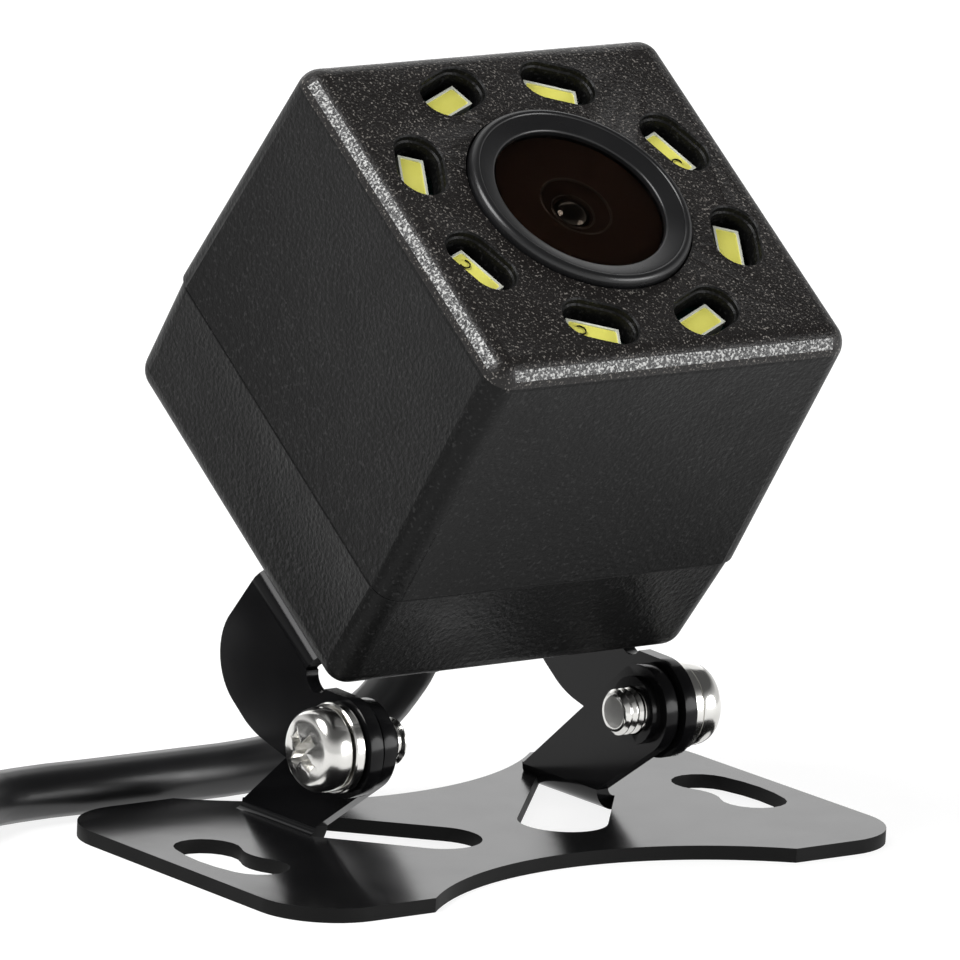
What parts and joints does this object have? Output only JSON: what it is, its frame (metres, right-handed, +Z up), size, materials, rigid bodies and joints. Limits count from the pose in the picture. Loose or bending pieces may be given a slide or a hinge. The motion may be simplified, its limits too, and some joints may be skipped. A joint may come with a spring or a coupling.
{
  "type": "backup camera",
  "caption": "Cube backup camera with a round wide lens ringed by small white lights, on a yoke that tilts on a folded bracket plate.",
  "frame": {"origin": "middle of the base plate's underside, which lies on the mounting surface", "axes": "+X along the tilt axis, to the right as seen facing the lens; +Y backwards; +Z up out of the mounting surface"},
  "size_m": [0.0853, 0.0608, 0.0429],
  "materials": {
    "housing_abs": "moulded black with a fine grain",
    "seal_rubber": "moulded rubber",
    "lens_ring": "satin black",
    "lens_glass": "coated glass",
    "circuit_board": "green solder resist",
    "chip_epoxy": "moulded epoxy",
    "header_nylon": "natural nylon",
    "led_package": "yellow phosphor in a white package",
    "bracket_paint": "gloss black paint on steel sheet",
    "nickel_plate": "bright nickel plate",
    "cable_pvc": "satin black PVC",
    "tie_strap": "black hook and loop strap",
    "plug_pvc": "overmoulded PVC",
    "plug_ring": "moulded black nylon"
  },
  "bodies": {
    "base": {"base_plate": "bracket_paint", "pivot_screw_left": "nickel_plate", "pivot_screw_right": "nickel_plate", "lock_washer_left": "nickel_plate", "lock_washer_right": "nickel_plate", "cable_lead": "cable_pvc", "cable_coil": "cable_pvc", "cable_tie": "tie_strap", "cable_end": "cable_pvc", "plug_body": "plug_pvc", "plug_collar": "plug_ring", "plug_insert": "plug_ring"},
    "camera": {"front_shell": "housing_abs", "rear_cover": "housing_abs", "housing_seal": "seal_rubber", "lens_bezel": "lens_ring", "front_lens": "lens_glass", "lens_barrel": "lens_ring", "inner_lens": "lens_glass", "lens_holder": "lens_ring", "image_sensor": "chip_epoxy", "main_board": "circuit_board", "processor_chip": "chip_epoxy", "led_board": "circuit_board", "board_pin_strip": "chip_epoxy", "board_header": "header_nylon", "cable_inner": "cable_pvc", "cable_grommet": "seal_rubber", "strain_relief": "cable_pvc", "led_1": "led_package", "led_2": "led_package", "led_3": "led_package", "led_4": "led_package", "led_5": "led_package", "led_6": "led_package", "led_7": "led_package", "led_8": "led_package", "yoke": "bracket_paint", "yoke_screw_left": "nickel_plate", "yoke_screw_right": "nickel_plate"}
  },
  "joints": [
    {"name": "camera_tilt", "type": "hinge", "parent": "base", "child": "camera", "pos_m": [0, -0.00147, 0.00659], "axis": [1, 0, 0], "range_deg": [-30, 65], "deforming": ["cable_lead"]}
  ]
}
